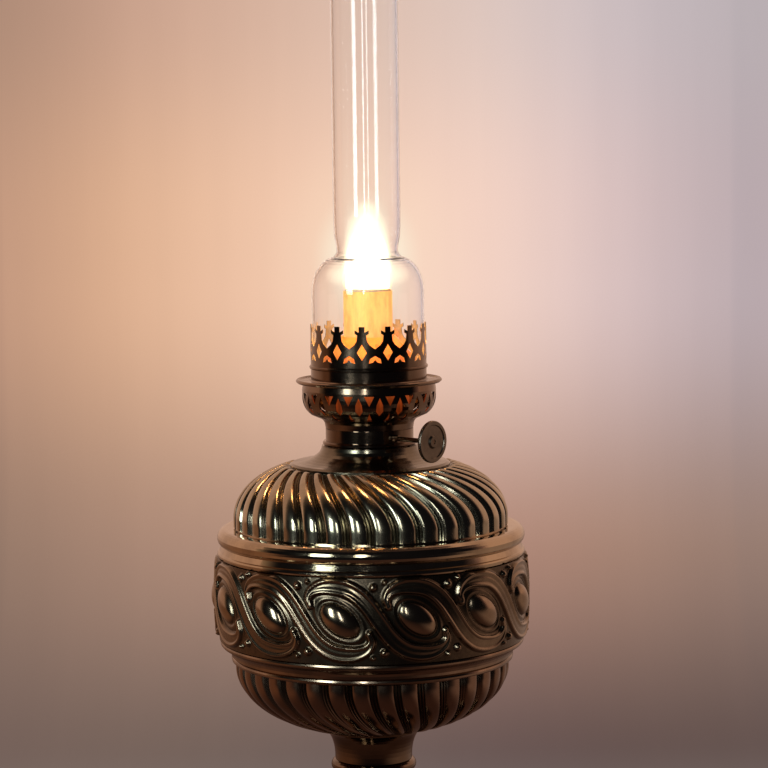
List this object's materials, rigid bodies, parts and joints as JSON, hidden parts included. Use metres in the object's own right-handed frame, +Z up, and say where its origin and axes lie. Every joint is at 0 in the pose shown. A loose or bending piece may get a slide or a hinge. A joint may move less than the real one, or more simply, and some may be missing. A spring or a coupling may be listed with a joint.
{
  "type": "oil lamp",
  "caption": "Kerosene table lamp with an embossed fluted font on a turned foot, a wound round wick in a pierced gallery and a tall shouldered glass chimney.",
  "frame": {"origin": "on the lamp's axis at the underside of the foot's pad", "axes": "+Z up along the lamp's axis, -Y to the lamp's front with the wick knob to the front right"},
  "size_m": [0.158, 0.158, 0.5743],
  "materials": {
    "antique_brass": "dark embossed brass, rubbed bright on its high places",
    "polished_brass": "smooth spun brass with a brown tone",
    "gallery_brass": "thin stamped brass, darkened by heat",
    "burner_brass": "bare burner brass",
    "steel": "plain",
    "iron": "rough cast",
    "tinplate": "dull tinned sheet",
    "felt": "felt",
    "cotton": "woven cotton, charred at the rim",
    "clear_glass": "clear thin glass",
    "flame": "burning oil vapour"
  },
  "bodies": {
    "lamp_base": {"felt_pad": "felt", "base_plate": "steel", "foot_weight": "iron", "foot_shell": "antique_brass", "stem_column": "antique_brass", "stem_lower_ring": "polished_brass", "stem_vase": "antique_brass", "stem_upper_ring": "polished_brass", "stem_trumpet": "antique_brass", "tie_rod": "steel", "tie_rod_nuts": "steel", "tie_rod_washer": "steel", "font_bowl": "antique_brass", "lower_moulding": "polished_brass", "font_band": "antique_brass", "upper_moulding": "polished_brass", "font_dome": "antique_brass", "font_neck": "polished_brass", "tank_floor": "tinplate", "tank_side": "tinplate", "tank_top": "tinplate", "font_collar": "polished_brass"},
    "burner": {"burner_base": "gallery_brass", "wick_guide": "burner_brass", "wick_tube": "burner_brass", "air_tube": "burner_brass", "spindle_bushes": "burner_brass"},
    "wick_winder": {"wick_spindle": "burner_brass", "star_wheels": "burner_brass", "wick_knob": "gallery_brass"},
    "wick_carrier": {"wick": "cotton"},
    "gallery": {"air_basket": "gallery_brass", "shade_ring": "gallery_brass", "gallery_crown": "gallery_brass", "air_cone": "burner_brass"},
    "glass": {"chimney": "clear_glass"}
  },
  "joints": [
    {"name": "burner_lift", "type": "slide", "parent": "lamp_base", "child": "burner", "axis": [0, 0, 1], "range_m": [0, 0.1]},
    {"name": "knob_turn", "type": "hinge", "parent": "burner", "child": "wick_winder", "pos_m": [-0.00426, -0.00491, 0.2804], "axis": [0.7547, -0.6561, 0], "range_deg": [-100, 80]},
    {"name": "wick_rise", "type": "slide", "parent": "burner", "child": "wick_carrier", "axis": [0, 0, 1], "range_m": [-0.008, 0.0064]},
    {"name": "gallery_lift", "type": "slide", "parent": "burner", "child": "gallery", "axis": [0, 0, 1], "range_m": [0, 0.08]},
    {"name": "chimney_lift", "type": "slide", "parent": "gallery", "child": "glass", "axis": [0, 0, 1], "range_m": [0, 0.08]}
  ],
  "couplings": [
    {"joint": "wick_rise", "follows": "knob_turn", "m_per_rad": 0.0045}
  ]
}
